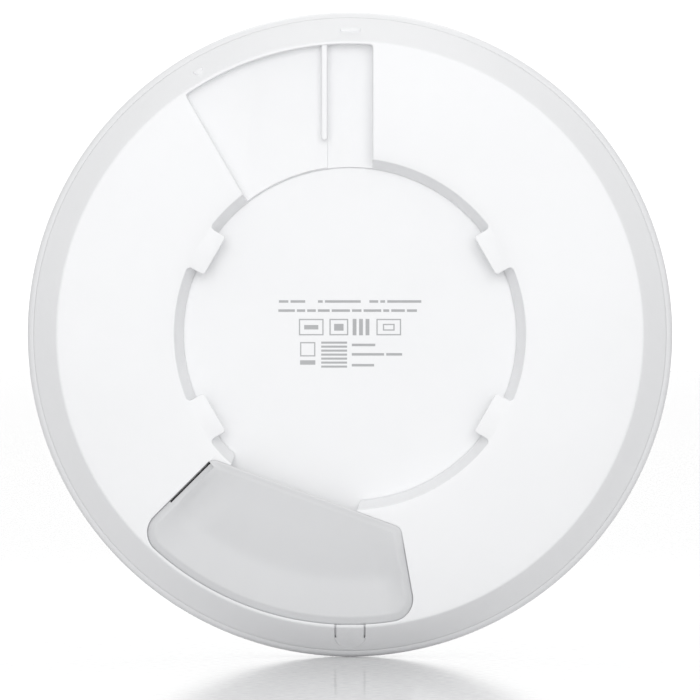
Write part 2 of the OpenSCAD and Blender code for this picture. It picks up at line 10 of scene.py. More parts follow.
import bmesh
import bpy
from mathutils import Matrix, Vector


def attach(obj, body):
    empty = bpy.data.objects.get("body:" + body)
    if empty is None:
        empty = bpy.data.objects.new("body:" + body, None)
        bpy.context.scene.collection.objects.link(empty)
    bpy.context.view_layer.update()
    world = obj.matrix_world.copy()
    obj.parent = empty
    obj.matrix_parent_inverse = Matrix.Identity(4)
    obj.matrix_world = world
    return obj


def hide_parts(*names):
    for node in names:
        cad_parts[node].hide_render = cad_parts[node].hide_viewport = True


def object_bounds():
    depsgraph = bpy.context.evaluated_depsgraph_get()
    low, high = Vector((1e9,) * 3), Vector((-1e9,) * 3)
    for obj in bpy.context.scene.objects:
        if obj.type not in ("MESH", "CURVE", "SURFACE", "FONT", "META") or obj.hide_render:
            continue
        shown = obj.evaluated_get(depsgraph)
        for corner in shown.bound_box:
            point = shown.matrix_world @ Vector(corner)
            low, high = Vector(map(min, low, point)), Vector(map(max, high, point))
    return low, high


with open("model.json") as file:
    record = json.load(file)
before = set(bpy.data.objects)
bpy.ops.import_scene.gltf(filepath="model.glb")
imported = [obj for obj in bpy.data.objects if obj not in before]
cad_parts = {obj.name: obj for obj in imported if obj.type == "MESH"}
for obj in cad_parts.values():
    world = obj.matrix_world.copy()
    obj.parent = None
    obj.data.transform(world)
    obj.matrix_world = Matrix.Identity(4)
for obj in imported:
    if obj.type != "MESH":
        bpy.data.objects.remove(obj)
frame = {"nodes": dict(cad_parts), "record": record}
cad_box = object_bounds()

# Sizes of the body, in millimetres, as in the part's source.
BODY_R = 110
BODY_H = 48
SHELL_WALL = 2.2
DOME_WALL = 2.4
DOME_POWER = 2.4
DOME_Z = 17
LANDING_R = 67
PLATE_R = 99.8
PLATE_DROP = 2.2
PLATE_EDGE = 0.62
PLATE_EDGE_EASE = 1.55
FLANK_SLOPE = 1.38
FLANK_FOOT = 0.5
SEAM_R = 107.9
TONGUE_R = 106.6
TONGUE_WALL = 2.2
TONGUE_Z = 17.4
WELL_R = 59.7
WELL_FLOOR_R = 56.7
WELL_DEPTH = 8
TAB_EDGE = 53.1
TAB_W = 15
TAB_T = 2.5
TAB_ROOT = 1.6
TWIST = 30
ARM_W = 15.5
ARM_R = 98.7
SWEEP_DEPTH = 6.6
CHANNEL_DEPTH = 7.4
RIB_W = 1.9
RIB_FROM = 66
RIB_H = 4.6
LOCK_MARK_R = 103.4
LOCK_MARK_H = 0.8
ENTRY_MARK_R = 102.6
ENTRY_MARK_H = 0.45
MARK_ROUND = 0.3
MARK_LEAN = 0.4
BAY_ANGLE = 250
BAY_CHORD = 56.1
BAY_R = 98.6
BAY_DEPTH = 17.3
BAY_FLOOR_T = 1.4
BAY_INNER_CHORD = WELL_FLOOR_R + SHELL_WALL + 2.6
CABLE_WAY_W = 45.6
FOOT_W = 0.3
CABLE_WAY_FROM = 50
LEDGE_W = 2.5
COVER_TOP = 0.1
COVER_T = 2.3
COVER_EDGE = 2.3
COVER_TRIM = 0.04
CREASE_R = 83
DISH = 2.05
DISH_RETURN = 0.95
CREASE_ROUND = 0.4
SEAT_DEPTH = 3.2
GAP = 0.25
EXIT_W = 10.5
EXIT_BOTTOM_R = 107.1
EXIT_WALL = 1.6
SLIT_W = 0.6
SLIT_TO = 103.3
FINGER_FROM = 64.5
FINGER_L = 19
FINGER_W = 0.65

# The hollow beside the finger slot: its depth, its middle's inset, its reach across and along, and its start.
HOLLOW = 0.8
HOLLOW_INSET = 5
HOLLOW_REACH = (9, 15)
HOLLOW_START = 2.5

# Over what width the port cover's dish fades in from its left side and from its right side.
SIDE_FADE = (13, 9)

# The parts inside and in the front, and the front cover's lip and groove.
BOARD_Z = 19.5
RING_R = 32
RING_W = 3
RING_DEPTH = 1.3
LEG_W = 1.8
LEG_ARC = 22
LED_TOP = 37.3
LED_COUNT = 6
LIP_R = SEAM_R + 0.03
LIP_EDGE_R = 108.9
LIP_SLOPE = 0.9
LIP_FALL = 1.7
LIP_TOP = -PLATE_DROP - (SEAM_R - PLATE_R) * FLANK_SLOPE - 0.08
SOCKET_R = BODY_R - DOME_WALL
GROOVE_R = SOCKET_R + 0.7
RESET_AT = (12, -90.4)
RESET_HALF = 3.4
BOSS_R = 3.6
BOSS_HOLE_R = 1.52

# The screw bosses: each one's angle, and its distance from the axis.
BOSSES = ((0, 80), (62, 80), (142, 80), (184, 80), (312, 80))

# The jack: its place along its side of the bay, the room round it, and where its window starts and ends.
JACK_W = 16
JACK_H = 13.5
JACK_ALONG = 78
JACK_CLEAR = 0.3
JACK_WINDOW = (-0.4, 11.6)

# The port cover's sides: the angle of each outward normal, and the side's offset from the axis.
LEFT_SIDE = (135, 3.1)
RIGHT_SIDE = (10, 5.35)
INNER_CORNER_R = 3
OUTER_CORNER_R = 7.5
JACK_FACE = LEFT_SIDE[1] - LEDGE_W + JACK_CLEAR

# The port cover's guide legs: length, thickness and foot, the room beside the ledge, and their places.
COVER_LEG = (8, 1.6, 8)
COVER_LEG_INSET = 0.6
COVER_LEG_ANGLES = (236, 256)
SIDE_LEG_FROM = -84

# The roll of the port cover's edge, inwards: the share of the way, the fall past the inner side, and a step.
COVER_ROLL = (
    (0, 1.3, 0.1), (0.04, 1.1, 0.1), (0.12, 0.95, 0), (0.35, 0.7, 0),
    (0.6, 0.42, 0), (0.85, 0.14, 0), (1, 0, 0),
)

FLANK_ANGLE = atan(FLANK_SLOPE)
TURN_STEPS = 360
OVER = 1.0
UNDER_SKIN = 0.9
FILLET = 0.45


def unit(angle):
    """The direction at an angle in degrees."""
    return Vector((cos(radians(angle)), sin(radians(angle))))


def turned(p):
    """The angle of a point round the axis, in degrees."""
    return degrees(atan2(p.y, p.x)) % 360


def arc(centre, r, start, end, steps):
    """Points on an arc, from one angle to another."""
    return [Vector(centre) + r * unit(start + (end - start) * i / steps) for i in range(steps + 1)]


def between(a, b, steps=14):
    """Points on the way from one point to another, without either."""
    return [a.lerp(b, i / steps) for i in range(1, steps)]


def meet(a, b):
    """Where two side lines cross."""
    n, m = unit(a[0]), unit(b[0])
    d = n.x * m.y - n.y * m.x
    return Vector(((a[1] * m.y - b[1] * n.y) / d, (n.x * b[1] - m.x * a[1]) / d))


def plate_height(r):
    """Height of the domed plate, without the flank."""
    return 0.0 if r <= LANDING_R else -PLATE_DROP * ((r - LANDING_R) / (PLATE_R - LANDING_R)) ** 2


def flank_height(r):
    """Height of the sloping flank outside the plate."""
    return -PLATE_DROP - (r - PLATE_R) * FLANK_SLOPE


def back_height(r):
    """Height of the back, plate or flank, at a distance from the axis."""
    return plate_height(r) if r <= PLATE_R else flank_height(r)


def dome_height(r):
    """Height of the front dome's outside."""
    return -DOME_Z - (BODY_H - DOME_Z) * (1 - (r / BODY_R) ** DOME_POWER) ** (1 / DOME_POWER)


def place(p):
    """A point of the back view, as a point of the row's frame."""
    return Vector((p[0], -p[2], p[1])) / 1000


def at_height(outline, height):
    """Puts a flat outline at a height, which is a number or a function of the distance from the axis."""
    if callable(height):
        return [(p.x, p.y, height(p.length)) for p in outline]
    return [(p.x, p.y, height) for p in outline]


def build(name, points, faces):
    """Makes a closed mesh object from points of the back view."""
    mesh = bpy.data.meshes.new(name)
    mesh.from_pydata([place(p) for p in points], [], faces)
    bm = bmesh.new()
    bm.from_mesh(mesh)
    bmesh.ops.remove_doubles(bm, verts=bm.verts, dist=1e-7)
    bmesh.ops.recalc_face_normals(bm, faces=bm.faces)
    bm.to_mesh(mesh)
    bm.free()
    piece = bpy.data.objects.new(name, mesh)
    bpy.context.scene.collection.objects.link(piece)
    return piece


def loft(name, rings):
    """Joins rings of equal length, one after the other, and closes both ends."""
    count = len(rings[0])
    points = [p for ring in rings for p in ring]
    faces = [list(range(count)), [len(points) - count + i for i in range(count)][::-1]]
    for k in range(len(rings) - 1):
        for i in range(count):
            j = (i + 1) % count
            faces.append([k * count + i, (k + 1) * count + i, (k + 1) * count + j, k * count + j])
    return build(name, points, faces)


def revolve(name, profile, steps=TURN_STEPS, start=0, end=360):
    """Turns a closed profile of (radius, height) pairs about the axis, all round or through an arc."""
    whole = end - start == 360
    count = steps if whole else steps + 1
    points = []
    rings = []
    for r, z in profile:
        if r == 0:
            rings.append([len(points)] * count)
            points.append((0, 0, z))
            continue
        rings.append(list(range(len(points), len(points) + count)))
        for i in range(count):
            p = r * unit(start + (end - start) * i / steps)
            points.append((p.x, p.y, z))
    faces = []
    for k, ring in enumerate(rings):
        following = rings[(k + 1) % len(rings)]
        for i in range(steps):
            j = (i + 1) % count
            face = [ring[i], ring[j], following[j], following[i]]
            face = [v for n, v in enumerate(face) if v != face[n - 1]]
            if len(face) > 2:
                faces.append(face)
    if not whole:
        faces += [[ring[0] for ring in rings], [ring[-1] for ring in rings][::-1]]
    return build(name, points, faces)


def combine(piece, other, operation):
    """Applies a boolean with another piece, which is used up."""
    modifier = piece.modifiers.new("combine", "BOOLEAN")
    modifier.operation = operation
    modifier.solver = "MANIFOLD"
    modifier.object = other
    bpy.context.view_layer.update()
    result = bpy.data.meshes.new_from_object(piece.evaluated_get(bpy.context.evaluated_depsgraph_get()))
    piece.modifiers.clear()
    piece.data = result
    bpy.data.objects.remove(other)
    return piece


def add(piece, *others):
    """Joins the others to a piece."""
    for other in others:
        combine(piece, other, "UNION")
    return piece


def cut(piece, *others):
    """Takes the others out of a piece."""
    for other in others:
        combine(piece, other, "DIFFERENCE")
    return piece


def soften(piece, angle=32):
    """Shades the piece smoothly, but keeps its real edges sharp."""
    bm = bmesh.new()
    bm.from_mesh(piece.data)
    bmesh.ops.dissolve_degenerate(bm, edges=bm.edges, dist=2e-7)
    bm.to_mesh(piece.data)
    bm.free()
    piece.data.shade_smooth()
    piece.data.set_sharp_from_angle(angle=radians(angle))
    return piece


def corner_centre(side, run, reach, r):
    """Centre of the round corner between a side line that runs outwards and an outer arc."""
    along = sqrt((reach - r) ** 2 - (side[1] - r) ** 2)
    return (side[1] - r) * unit(side[0]) + along * unit(side[0] + run)


def bay_outline(margin, chord=BAY_CHORD):
    """The port cover's outline, grown by a margin, with its straight edge at the given distance."""
    straight = (BAY_ANGLE - 180, -chord)
    tight = INNER_CORNER_R
    b = meet((RIGHT_SIDE[0], RIGHT_SIDE[1] - tight), (straight[0], straight[1] - tight))
    a = meet((straight[0], straight[1] - tight), (LEFT_SIDE[0], LEFT_SIDE[1] - tight))
    d = corner_centre(LEFT_SIDE, 90, BAY_R, OUTER_CORNER_R)
    c = corner_centre(RIGHT_SIDE, -90, BAY_R, OUTER_CORNER_R)
    inner_right = arc(b, tight + margin, RIGHT_SIDE[0], straight[0], 8)
    inner_left = arc(a, tight + margin, straight[0], LEFT_SIDE[0], 8)
    outer_left = arc(d, OUTER_CORNER_R + margin, LEFT_SIDE[0], turned(d), 12)
    outer_right = arc(c, OUTER_CORNER_R + margin, turned(c), RIGHT_SIDE[0] + 360, 12)
    points = inner_right + between(inner_right[-1], inner_left[0], 24)
    points += inner_left + between(inner_left[-1], outer_left[0])
    points += outer_left + arc((0, 0), BAY_R + margin, turned(d) + 0.5, turned(c) - 0.5, 48)
    points += outer_right + between(outer_right[-1], inner_right[0])
    return points


def arm_outline(margin, left_angle, corner=1.0):
    """The arm's recess between its right side and a left side, out to its reach. It starts in the well."""
    half = ARM_W / 2
    right, left = (0, half), (left_angle, half)
    c = corner_centre(right, 90, ARM_R, corner)
    d = corner_centre(left, -90, ARM_R, corner)
    start = Vector((half + margin, 38))
    end = 38 * unit(left_angle - 90) + (half + margin) * unit(left_angle)
    round_right = arc(c, corner + margin, 0, turned(c), 4)
    round_left = arc(d, corner + margin, turned(d), left_angle, 4)
    points = [start] + between(start, round_right[0]) + round_right
    points += arc((0, 0), ARM_R + margin, turned(c) + 0.3, turned(d) - 0.3, 30)
    points += round_left + between(round_left[-1], end) + [end]
    return points


def rim_rings(outline, fillet=FILLET):
    """The rings of a cutter's mouth: it flares over the back's surface and rounds down into the wall."""
    wide = outline(0.74 * fillet + 1.93)
    rings = [at_height(wide, 3), at_height(wide, lambda r: plate_height(r) + 0.52)]
    for t in (15, 35, 55, 72, 90):
        side = fillet * (1 - sin(radians(t)))
        drop = fillet * (1 - cos(radians(t)))
        rings.append(at_height(outline(side), lambda r, drop=drop: plate_height(r) - drop))
    return rings


def floor_rings(outline, depth, fillet=0.5):
    """The rings of a cutter's floor, with a small cove round it."""
    rings = []
    for t in (0, 30, 60, 90):
        side = -fillet * (1 - cos(radians(t)))
        rings.append(at_height(outline(side), -depth + fillet * (1 - sin(radians(t)))))
    return rings


def pocket(name, outline, depth, fillet=FILLET):
    """A cutter with a round mouth and a coved floor."""
    return loft(name, rim_rings(outline, fillet) + floor_rings(outline, depth))


def plain(name, outline, top, bottom):
    """A straight piece between two heights."""
    return loft(name, [at_height(outline, top), at_height(outline, bottom)])


def slab(name, low, high, round_top=0.0):
    """A block between two corners. Its top edges may be rounded."""
    def ring(inset, z):
        return [
            (low[0] + inset, low[1] + inset, z), (high[0] - inset, low[1] + inset, z),
            (high[0] - inset, high[1] - inset, z), (low[0] + inset, high[1] - inset, z),
        ]

    rings = [ring(0, low[2])]
    if round_top:
        for t in (0, 30, 60, 90):
            inset = round_top * (1 - cos(radians(t)))
            rings.append(ring(inset, high[2] - round_top * (1 - sin(radians(t)))))
    else:
        rings.append(ring(0, high[2]))
    return loft(name, rings)


def oblong(across, up):
    """The corners of a rectangle between two values of X and two of Y."""
    return [Vector((across[i], up[j])) for i, j in ((0, 0), (1, 0), (1, 1), (0, 1))]


def swung(points, angle):
    """Turns outline points about the axis."""
    c, s = unit(angle)
    return [Vector((p.x * c - p.y * s, p.x * s + p.y * c)) for p in points]


def plate_profile():
    """The outside of the back, from the axis to the seam, with a round between the plate and the flank."""
    points = [(0, 0), (20, 0), (40, 0), (52, 0), (LANDING_R - 3, 0)]
    steps = 16
    for i in range(steps + 1):
        r = LANDING_R + (PLATE_R - PLATE_EDGE - LANDING_R) * i / steps
        points.append((r, plate_height(r)))
    slope_in = 2 * PLATE_DROP / (PLATE_R - LANDING_R)
    start, end = atan(slope_in), FLANK_ANGLE
    radius = PLATE_EDGE / (sin(end) - sin(start)) * PLATE_EDGE_EASE
    centre_r = points[-1][0] - radius * sin(start)
    centre_z = points[-1][1] - radius * cos(start)
    for i in range(1, 7):
        t = start + (end - start) * i / 6
        points.append((centre_r + radius * sin(t), centre_z + radius * cos(t)))
    a, b = points[-1], (SEAM_R - FLANK_FOOT, flank_height(SEAM_R - FLANK_FOOT))
    for share in (0.25, 0.5, 0.75):
        points.append((a[0] + (b[0] - a[0]) * share, a[1] + (b[1] - a[1]) * share))
    points += [b, (SEAM_R - 0.05, flank_height(SEAM_R - 0.06)), (SEAM_R, flank_height(SEAM_R) - 0.1)]
    return points


def shell_profile():
    """The whole section of the empty back shell."""
    inner_r = TONGUE_R - TONGUE_WALL
    inset = SHELL_WALL / sin(FLANK_ANGLE)
    corner_r = PLATE_R - inset + SHELL_WALL / FLANK_SLOPE
    points = plate_profile()
    points += [(SEAM_R, flank_height(SEAM_R) - 0.35), (TONGUE_R, flank_height(SEAM_R) - 0.35)]
    points += [(TONGUE_R, -TONGUE_Z + 0.3), (TONGUE_R - 0.3, -TONGUE_Z)]
    points += [(inner_r, -TONGUE_Z), (inner_r, flank_height(inner_r + inset))]
    steps = 8
    for i in range(steps + 1):
        r = corner_r + (LANDING_R - corner_r) * i / steps
        points.append((r, plate_height(r) - SHELL_WALL))
    points += [(30, -SHELL_WALL), (0, -SHELL_WALL)]
    return points


def solid_profile(drop=0.0):
    """The back's outside as a filled solid, lowered by a drop."""
    points = [(r, z - drop) for r, z in plate_profile()]
    return points + [(SEAM_R, -TONGUE_Z - drop), (0, -TONGUE_Z - drop)]


def tab_outline(grow, angle):
    """A bayonet tab, from its straight edge to its root, where it widens into the well's wall."""
    half = TAB_W / 2
    tip = 1.0
    root = 1.3
    wall = sqrt(WELL_R ** 2 - (half + root) ** 2)
    upper = arc((TAB_EDGE + tip, half - tip), tip + grow, 180, 90, 4)
    upper += arc((wall - root, half + root), root - grow, -90, 0, 4)
    lower = [Vector((p.x, -p.y)) for p in upper]
    ends = [Vector((WELL_R + TAB_ROOT, side * (half + root))) for side in (-1, 1)]
    return swung([ends[0]] + lower[::-1] + upper + [ends[1]], angle)


def tab(angle):
    """A bayonet tab with its edges rounded."""
    edge = 0.3
    rings = [at_height(tab_outline(-edge, angle), -TAB_T), at_height(tab_outline(0, angle), -TAB_T + edge)]
    for t in (0, 30, 60, 90):
        grow = -edge * (1 - cos(radians(t)))
        rings.append(at_height(tab_outline(grow, angle), -0.001 - edge * (1 - sin(radians(t)))))
    return loft("tab", rings)


def exit_outline(margin):
    """The cable exit's section: straight sides and a round bottom, as (across, height) pairs."""
    half = EXIT_W / 2 + margin
    middle = flank_height(EXIT_BOTTOM_R) + EXIT_W / 2
    return [(half, OVER)] + [
        (half * cos(t * pi / 24), middle - half * sin(t * pi / 24)) for t in range(25)
    ] + [(-half, OVER)]


def exit_block(name, margin, start, end):
    """The cable exit's section, drawn out towards the rim."""
    return loft(name, [[(x, -reach, z) for x, z in exit_outline(margin)] for reach in (start, end)])


def on_flank(points, angle, r, height):
    """Lays a small outline on the flank, at an angle round the axis. Its height depends on its own Y."""
    out = unit(angle)
    across = Vector((-out.y, out.x))
    placed = []
    for p in points:
        reach = r + p.y * cos(FLANK_ANGLE) + height(p.y) * sin(FLANK_ANGLE)
        level = flank_height(r) - p.y * sin(FLANK_ANGLE) + height(p.y) * cos(FLANK_ANGLE)
        spot = out * reach - across * p.x
        placed.append((spot.x, spot.y, level))
    return placed


def mark(name, outline, angle, r, height):
    """A raised mark on the flank, with its top edge rounded. It stands a little taller towards the rim."""
    rings = [on_flank(outline(0), angle, r, lambda y: -0.5)]
    for t in (0, 30, 60, 90):
        inset = MARK_ROUND * (1 - cos(radians(t)))
        lift = height - MARK_ROUND * (1 - sin(radians(t)))
        rings.append(on_flank(outline(-inset), angle, r, lambda y, lift=lift: lift + MARK_LEAN * y))
    return loft(name, rings)


def bar_outline(grow):
    """The lock mark: a short bar with round ends."""
    points = arc((2.75, 0), 0.75 + grow, -90, 90, 8)
    return points + arc((-2.75, 0), 0.75 + grow, 90, 270, 8)


def arrow_outline(grow):
    """The entry mark: a small triangle with round corners."""
    corners = ((0, -1.0), (1.25, 1.0), (-1.25, 1.0))
    points = []
    for k, corner in enumerate(corners):
        middle = -90 + 120 * k
        points += arc(corner, 0.35 + grow, middle - 60, middle + 60, 4)
    return points


def rib():
    """The rib that the bracket's arm drops behind, with a round lower end."""
    right = -ARM_W / 2 - 0.001
    left = right - RIB_W
    tip = RIB_W / 2 - 0.05

    def outline(grow):
        points = [Vector((right + grow, ARM_R + 0.4)), Vector((left - grow, ARM_R + 0.4))]
        points += arc((left + tip, RIB_FROM + tip), tip + grow, 180, 270, 6)
        points += arc((right - tip, RIB_FROM + tip), tip + grow, 270, 360, 6)
        return points

    rings = [at_height(outline(0), -CHANNEL_DEPTH - 0.4)]
    for t in (0, 30, 60, 90):
        grow = -0.35 * (1 - cos(radians(t)))
        rings.append(at_height(outline(grow), -CHANNEL_DEPTH + RIB_H - 0.35 * (1 - sin(radians(t)))))
    return loft("rib", rings)


def well_cutter():
    """The bracket well, with a round mouth and a sloping wall."""
    f = FILLET
    points = [(0, OVER), (WELL_R + 0.74 * f + 2, OVER * 0.52 + 0.02)]
    for t in (15, 35, 55, 72, 84):
        points.append((WELL_R + f * (1 - sin(radians(t))), -f * (1 - cos(radians(t)))))
    points += [(WELL_FLOOR_R, -WELL_DEPTH), (40, -WELL_DEPTH), (20, -WELL_DEPTH), (0, -WELL_DEPTH)]
    return revolve("well", points)


def well_foot():
    """A fine groove at the foot of the well's wall, all round except at the cable way."""
    half = degrees(asin(CABLE_WAY_W / 2 / WELL_FLOOR_R))
    box = [(WELL_FLOOR_R - FOOT_W, -WELL_DEPTH - FOOT_W), (WELL_FLOOR_R + 0.01, -WELL_DEPTH - FOOT_W)]
    box += [(WELL_FLOOR_R + 0.01, -WELL_DEPTH + 0.02), (WELL_FLOOR_R - FOOT_W, -WELL_DEPTH + 0.02)]
    return revolve("foot", box, 320, BAY_ANGLE + half, BAY_ANGLE - half + 360)


def cable_way():
    """The gap in the well's wall that leads to the port bay."""
    half = CABLE_WAY_W / 2
    ends = (CABLE_WAY_FROM, BAY_INNER_CHORD + OVER)
    return plain("way", swung(oblong(ends, (-half, half)), BAY_ANGLE), OVER, -WELL_DEPTH)


def channel_cutter():
    """The deeper channel in the arm's recess, where the bracket's arm locks."""
    rings = [at_height(arm_outline(0, 180), -2.4)]
    return loft("channel", rings + floor_rings(lambda grow: arm_outline(grow, 180), CHANNEL_DEPTH, 0.3))


def seat_cutter():
    """The port cover's seat. Its floor follows the dome, and the bay's own cutter opens its middle."""
    rings = rim_rings(lambda grow: bay_outline(GAP + grow), 0.2)
    for margin in (GAP, -LEDGE_W - 0.4):
        rings.append(at_height(bay_outline(margin), lambda r: plate_height(r) - SEAT_DEPTH))
    return loft("seat", rings)


def bay_cutter():
    """The port bay inside its ledge."""
    chord = BAY_INNER_CHORD - LEDGE_W
    rings = [at_height(bay_outline(-LEDGE_W, chord), OVER)]
    rings.append(at_height(bay_outline(-LEDGE_W, chord), -BAY_DEPTH + 0.5))
    rings.append(at_height(bay_outline(-LEDGE_W - 0.35, chord), -BAY_DEPTH))
    return loft("bay", rings)


def in_jack(p):
    """A point of the jack's own frame: depth, across, and height above the board."""
    x, y, z = p
    out = unit(LEFT_SIDE[0])
    across = unit(LEFT_SIDE[0] + 90)
    spot = (JACK_FACE + x) * out + (JACK_ALONG + y) * across
    return (spot.x, spot.y, z - BOARD_Z)


def jack_window():
    """The window in the bay's side that the jack looks through."""
    half = JACK_W / 2 + JACK_CLEAR
    corners = oblong(JACK_WINDOW, (-half, half))
    return loft("jack", [[in_jack((p.x, p.y, z)) for p in corners] for z in (-OVER, JACK_H + JACK_CLEAR)])


def reset_window():
    """The hole in the bay's floor over the reset button."""
    x, y = RESET_AT
    low = (x - RESET_HALF, y - RESET_HALF, -BAY_DEPTH - 4)
    return slab("window", low, (x + RESET_HALF, y + RESET_HALF, -BAY_DEPTH + 1))


def circle(centre, r, steps=40):
    """A full circle of points."""
    return arc(centre, r, 0, 360 - 360 / steps, steps - 1)


def back_shell():
    """The moulded back: an empty shell, then what stands in it, then what is sunk into it."""
    def under(r):
        return back_height(r) - UNDER_SKIN

    shell = revolve("back_moulding", shell_profile())
    throat = exit_block("throat", EXIT_WALL, BAY_R - 2.5, SEAM_R - 2)
    combine(throat, revolve("form", solid_profile(UNDER_SKIN)), "INTERSECT")
    add(
        shell,
        plain("cup", circle((0, 0), WELL_R + SHELL_WALL, 180), -0.8, -WELL_DEPTH - SHELL_WALL),
        plain("arm", arm_outline(SHELL_WALL, 180 + TWIST), under, -CHANNEL_DEPTH - SHELL_WALL),
        plain("box", bay_outline(SHELL_WALL, BAY_INNER_CHORD - LEDGE_W), under, -BAY_DEPTH - BAY_FLOOR_T),
        throat,
    )
    for angle, r in BOSSES:
        add(shell, plain("boss", circle(r * unit(angle), BOSS_R), lambda r: back_height(r) - 1, -BOARD_Z))
    cut(
        shell,
        well_cutter(),
        pocket("sweep", lambda grow: arm_outline(grow, 180 + TWIST), SWEEP_DEPTH),
        channel_cutter(),
        seat_cutter(),
        bay_cutter(),
        well_foot(),
        cable_way(),
        exit_block("exit", 0, BAY_R - LEDGE_W - OVER, BODY_R),
        jack_window(),
        reset_window(),
    )
    for angle, r in BOSSES:
        cut(shell, plain("hole", circle(r * unit(angle), BOSS_HOLE_R), -8.5, -BOARD_Z - 1))
    for angle in (TWIST, 180 - TWIST, 180 + TWIST, 360 - TWIST):
        add(shell, tab(angle))
    add(
        shell, rib(),
        mark("lock_mark", bar_outline, 90, LOCK_MARK_R, LOCK_MARK_H),
        mark("entry_mark", arrow_outline, 90 + TWIST, ENTRY_MARK_R, ENTRY_MARK_H),
    )
    return soften(shell)


def front_cover():
    """The domed front, with a bevelled lip at the seam and a groove for the light ring."""
    points = [(SOCKET_R, LIP_TOP - 0.8), (LIP_R, LIP_TOP - 0.8), (LIP_R, LIP_TOP)]
    points.append((LIP_EDGE_R, LIP_TOP - (LIP_EDGE_R - LIP_R) * LIP_SLOPE))
    points.append((BODY_R, points[-1][1] - (BODY_R - LIP_EDGE_R) * LIP_FALL))
    steps = 60
    groove = (RING_R - RING_W / 2, RING_R + RING_W / 2)
    radii = []
    for i in range(steps + 1):
        t = radians(90 * i / steps)
        radii.append(BODY_R * cos(t) ** (2 / DOME_POWER))
    outer = [r for r in radii if r > groove[1] + 0.3]
    inner = [r for r in radii if r < groove[0] - 0.3]
    points += [(r, dome_height(r)) for r in outer]
    floor = dome_height(RING_R) + RING_DEPTH
    points += [(groove[1] + 0.12, dome_height(groove[1] + 0.12)), (groove[1], dome_height(groove[1]) + 0.12)]
    points += [(groove[1], floor), (groove[0], floor)]
    points += [(groove[0], dome_height(groove[0]) + 0.12), (groove[0] - 0.12, dome_height(groove[0] - 0.12))]
    points += [(r if r > 0.5 else 0, dome_height(r)) for r in inner]
    half = 24
    for i in range(half + 1):
        t = radians(90 - 90 * i / half)
        r = (BODY_R - DOME_WALL) * cos(t) ** (2 / DOME_POWER)
        z = -DOME_Z - (BODY_H - DOME_Z - DOME_WALL) * sin(t) ** (2 / DOME_POWER)
        points.append((0 if i == 0 else r, z))
    points += [(GROOVE_R, -17.2), (GROOVE_R, -16), (SOCKET_R, -15.7)]
    cover = revolve("front_dome", clean(points))
    for i in range(LED_COUNT):
        middle = i * 360 / LED_COUNT
        half_arc = LEG_ARC / 2 + 0.5
        r = (RING_R - LEG_W / 2 - 0.1, RING_R + LEG_W / 2 + 0.1)
        box = [(r[0], -BODY_H + 1), (r[1], -BODY_H + 1), (r[1], -BODY_H + 5), (r[0], -BODY_H + 5)]
        cut(cover, revolve("leg_slot", box, 24, middle - half_arc, middle + half_arc))
    return soften(cover)


def clean(points):
    """Drops a point that repeats the one before it."""
    kept = [points[0]]
    for p in points[1:]:
        if hypot(p[0] - kept[-1][0], p[1] - kept[-1][1]) > 1e-4:
            kept.append(p)
    return kept


def light_ring():
    """The frosted ring in the dome, and its legs down to the lights."""
    inner, outer = RING_R - RING_W / 2 + 0.05, RING_R + RING_W / 2 - 0.05
    floor = dome_height(RING_R) + RING_DEPTH - 0.05
    points = [(inner, floor), (outer, floor), (outer, dome_height(outer) + 0.15)]
    for share in (0.06, 0.25, 0.5, 0.75, 0.94):
        r = outer + (inner - outer) * share
        points.append((r, dome_height(r) + 0.02))
    points.append((inner, dome_height(inner) + 0.15))
    ring = revolve("light_ring", points)
    for i in range(LED_COUNT):
        middle = i * 360 / LED_COUNT
        r = (RING_R - LEG_W / 2, RING_R + LEG_W / 2)
        box = [(r[0], floor - 0.5), (r[1], floor - 0.5), (r[1], -LED_TOP), (r[0], -LED_TOP)]
        add(ring, revolve("leg", box, 16, middle - LEG_ARC / 2, middle + LEG_ARC / 2))
    return soften(ring)


def cover_dish(p):
    """How far the port cover's face is sunk: it leans outwards to a crease, and comes back up past it."""
    depth = max(-p.dot(unit(BAY_ANGLE - 180)) - BAY_CHORD, 0)
    past = p.length - CREASE_R
    inner = DISH * depth / max(depth - past, 0.5 * depth + 0.01)
    outer = DISH * (1 - DISH_RETURN * past / (BAY_R - CREASE_R))
    lean = (inner + outer - hypot(inner - outer, CREASE_ROUND) + CREASE_ROUND * min(depth / 10, 1) / 2) / 2
    left = LEFT_SIDE[1] - p.dot(unit(LEFT_SIDE[0])) - COVER_EDGE
    right = RIGHT_SIDE[1] - p.dot(unit(RIGHT_SIDE[0])) - COVER_EDGE
    for inset, width in zip((left, right), SIDE_FADE):
        share = min(max(inset / width, 0), 1)
        lean *= share * (2 - share)
    run = p.dot(unit(LEFT_SIDE[0] + 90)) - FINGER_FROM - FINGER_L / 2
    across, along = HOLLOW_REACH
    near = max(1 - ((left - HOLLOW_INSET) / across) ** 2 - (run / along) ** 2, 0)
    return lean + HOLLOW * near * near * min(max(left / HOLLOW_START, 0), 1)


